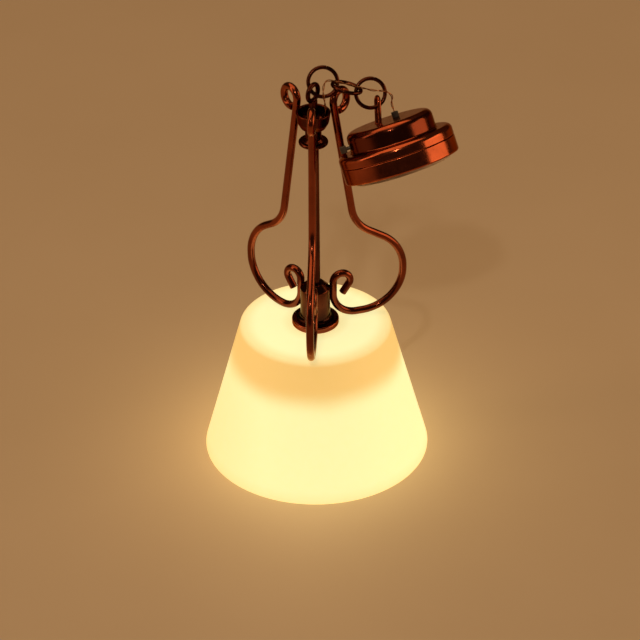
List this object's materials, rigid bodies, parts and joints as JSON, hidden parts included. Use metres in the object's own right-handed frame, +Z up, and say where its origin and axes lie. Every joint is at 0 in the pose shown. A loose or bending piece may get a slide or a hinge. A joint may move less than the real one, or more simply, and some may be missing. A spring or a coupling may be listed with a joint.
{
  "type": "dolls house ceiling lamp",
  "caption": "Miniature ceiling lamp with a frosted conical shade, scrolled wire arms, a ring chain, a two-tier battery canopy and a warm lamp.",
  "frame": {"origin": "centre of the shade's open rim, where the lamp stands", "axes": "+Z up the stem from the shade to the chain's eye; -Y is the side that the front arm is on; +X is the side that the chain lies to"},
  "size_m": [0.0334, 0.03, 0.0564],
  "materials": {
    "frosted_plastic": "frosted white moulding, lit from inside",
    "antique_copper": "glossy antique copper plating on brass",
    "dark_copper": "the same plating left darker, nearly black in the hollows",
    "raw_brass": "plain brass",
    "steel": "nickel-plated steel",
    "white_plastic": "plain moulded plastic",
    "lamp_epoxy": "clear cast epoxy over a warm phosphor",
    "black_rubber": "soft sleeve",
    "board": "printed circuit board",
    "switch_black": "moulded switch body",
    "switch_pale": "moulded switch slider",
    "enamelled_wire": "enamelled copper wire",
    "adhesive_pad": "soft pale pad"
  },
  "bodies": {
    "lamp": {"shade": "frosted_plastic", "shade_flange": "antique_copper", "arm_hub": "antique_copper", "stem_tube": "antique_copper", "stem_washer": "steel", "stem_nut": "raw_brass", "led_holder": "white_plastic", "led": "lamp_epoxy", "stem_collar": "dark_copper", "bell_cup": "dark_copper", "eye_post": "dark_copper", "arm_right": "antique_copper", "arm_left": "antique_copper", "arm_front": "antique_copper", "lead_stem": "enamelled_wire", "lead_eye": "enamelled_wire"},
    "ring_1": {"ring_1": "dark_copper", "lead_ring_1": "enamelled_wire"},
    "ring_2": {"ring_2": "dark_copper", "lead_ring_2": "enamelled_wire"},
    "ring_3": {"ring_3": "dark_copper", "lead_ring_3": "enamelled_wire"},
    "hanging_loop": {"hanging_loop": "antique_copper", "lead_loop": "enamelled_wire"},
    "canopy": {"canopy_cap": "antique_copper", "lead_ferrule": "black_rubber", "contact_board": "board", "battery_clip": "raw_brass", "switch_body": "switch_black", "lead_tail": "enamelled_wire"},
    "switch": {"switch_knob": "switch_pale"},
    "base": {"canopy_base": "antique_copper", "base_magnet": "steel", "coin_cell": "steel", "base_contact": "raw_brass", "ceiling_pad": "adhesive_pad"}
  },
  "joints": [
    {"name": "ring_1_swing", "type": "hinge", "parent": "lamp", "child": "ring_1", "pos_m": [0, 0, 0.0534], "axis": [0.0755, -0.8712, 0.4851], "range_deg": [0, 50], "deforming": ["lead_eye"]},
    {"name": "ring_2_swing", "type": "hinge", "parent": "ring_1", "child": "ring_2", "pos_m": [0.00247, 0.00067, 0.05422], "axis": [-0.0096, -0.9857, 0.1685], "range_deg": [0, 60], "deforming": ["lead_ring_1"]},
    {"name": "ring_3_swing", "type": "hinge", "parent": "ring_2", "child": "ring_3", "pos_m": [0.00606, 0.00048, 0.05333], "axis": [-0.0096, -0.9857, 0.1685], "range_deg": [0, 30], "deforming": ["lead_ring_2"]},
    {"name": "loop_swing", "type": "hinge", "parent": "ring_3", "child": "hanging_loop", "pos_m": [0.00812, 0.00023, 0.05259], "axis": [0.2458, -0.8539, 0.4588], "range_deg": [0, 48], "deforming": ["lead_ring_3"]},
    {"name": "canopy_swing", "type": "hinge", "parent": "hanging_loop", "child": "canopy", "pos_m": [0.00824, -0.00133, 0.04963], "axis": [0.2458, -0.8539, 0.4588], "range_deg": [0, 25], "deforming": ["lead_loop"]},
    {"name": "switch_slide", "type": "slide", "parent": "canopy", "child": "switch", "axis": [-0.049, 0.9086, -0.4147], "range_m": [0, 0.001]},
    {"name": "base_pull", "type": "slide", "parent": "canopy", "child": "base", "axis": [0.3017, -0.3823, -0.8734], "range_m": [0, 0.006]}
  ]
}
